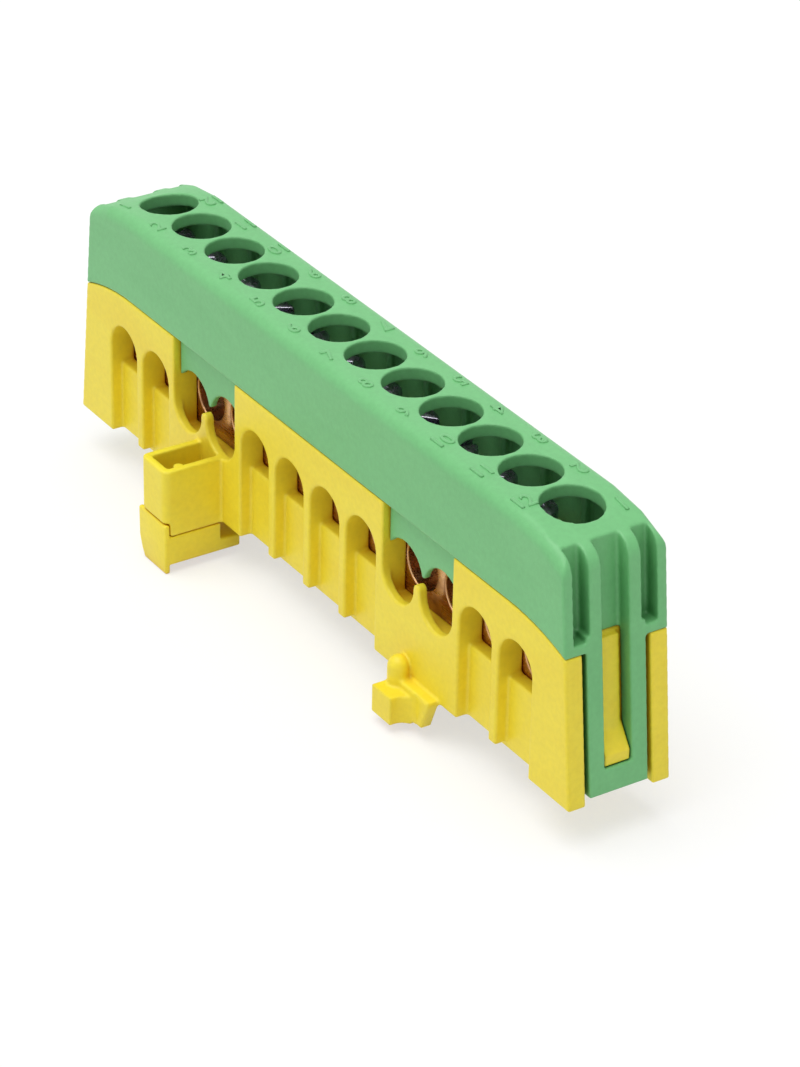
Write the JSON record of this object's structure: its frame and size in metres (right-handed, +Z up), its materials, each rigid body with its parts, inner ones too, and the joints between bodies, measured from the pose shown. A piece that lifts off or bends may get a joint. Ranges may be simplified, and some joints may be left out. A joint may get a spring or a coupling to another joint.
{
  "type": "earth terminal bar",
  "caption": "Earth terminal bar: brass bar with clamping screws in a moulded base with side wire ways, under a clip-on cover with driver holes; sliding clip feet for a mounting bar.",
  "frame": {"origin": "middle of the object's box in plan, on the plane its lowest points stand on", "axes": "+X along the row of ways, +Z up through the driver holes, +Y across the bar"},
  "size_m": [0.0968, 0.026, 0.0325],
  "materials": {
    "base_plastic": "satin moulded yellow",
    "cover_plastic": "satin moulded green",
    "latch_plastic": "satin moulded yellow",
    "brass": "machined, slightly dull",
    "screw_steel": "zinc plated"
  },
  "bodies": {
    "root": {"base": "base_plastic", "cover": "cover_plastic", "terminal_bar": "brass"},
    "latch_left": {"rail_latch_left": "latch_plastic"},
    "latch_right": {"rail_latch_right": "latch_plastic"},
    "screw_01_body": {"screw_01": "screw_steel"},
    "screw_02_body": {"screw_02": "screw_steel"},
    "screw_03_body": {"screw_03": "screw_steel"},
    "screw_04_body": {"screw_04": "screw_steel"},
    "screw_05_body": {"screw_05": "screw_steel"},
    "screw_06_body": {"screw_06": "screw_steel"},
    "screw_07_body": {"screw_07": "screw_steel"},
    "screw_08_body": {"screw_08": "screw_steel"},
    "screw_09_body": {"screw_09": "screw_steel"},
    "screw_10_body": {"screw_10": "screw_steel"},
    "screw_11_body": {"screw_11": "screw_steel"},
    "screw_12_body": {"screw_12": "screw_steel"}
  },
  "joints": [
    {"name": "screw_01_travel", "type": "slide", "parent": "root", "child": "screw_01_body", "axis": [0, 0, -1], "range_m": [0, 0.0042]},
    {"name": "screw_02_travel", "type": "slide", "parent": "root", "child": "screw_02_body", "axis": [0, 0, -1], "range_m": [0, 0.0042]},
    {"name": "screw_03_travel", "type": "slide", "parent": "root", "child": "screw_03_body", "axis": [0, 0, -1], "range_m": [0, 0.0042]},
    {"name": "screw_04_travel", "type": "slide", "parent": "root", "child": "screw_04_body", "axis": [0, 0, -1], "range_m": [0, 0.0042]},
    {"name": "screw_05_travel", "type": "slide", "parent": "root", "child": "screw_05_body", "axis": [0, 0, -1], "range_m": [0, 0.0042]},
    {"name": "screw_06_travel", "type": "slide", "parent": "root", "child": "screw_06_body", "axis": [0, 0, -1], "range_m": [0, 0.0042]},
    {"name": "screw_07_travel", "type": "slide", "parent": "root", "child": "screw_07_body", "axis": [0, 0, -1], "range_m": [0, 0.0042]},
    {"name": "screw_08_travel", "type": "slide", "parent": "root", "child": "screw_08_body", "axis": [0, 0, -1], "range_m": [0, 0.0042]},
    {"name": "screw_09_travel", "type": "slide", "parent": "root", "child": "screw_09_body", "axis": [0, 0, -1], "range_m": [0, 0.0042]},
    {"name": "screw_10_travel", "type": "slide", "parent": "root", "child": "screw_10_body", "axis": [0, 0, -1], "range_m": [0, 0.0042]},
    {"name": "screw_11_travel", "type": "slide", "parent": "root", "child": "screw_11_body", "axis": [0, 0, -1], "range_m": [0, 0.0042]},
    {"name": "screw_12_travel", "type": "slide", "parent": "root", "child": "screw_12_body", "axis": [0, 0, -1], "range_m": [0, 0.0042]},
    {"name": "latch_left_slide", "type": "slide", "parent": "root", "child": "latch_left", "axis": [0, -1, 0], "range_m": [0, 0.0026]},
    {"name": "latch_right_slide", "type": "slide", "parent": "root", "child": "latch_right", "axis": [0, 1, 0], "range_m": [0, 0.0026]}
  ]
}
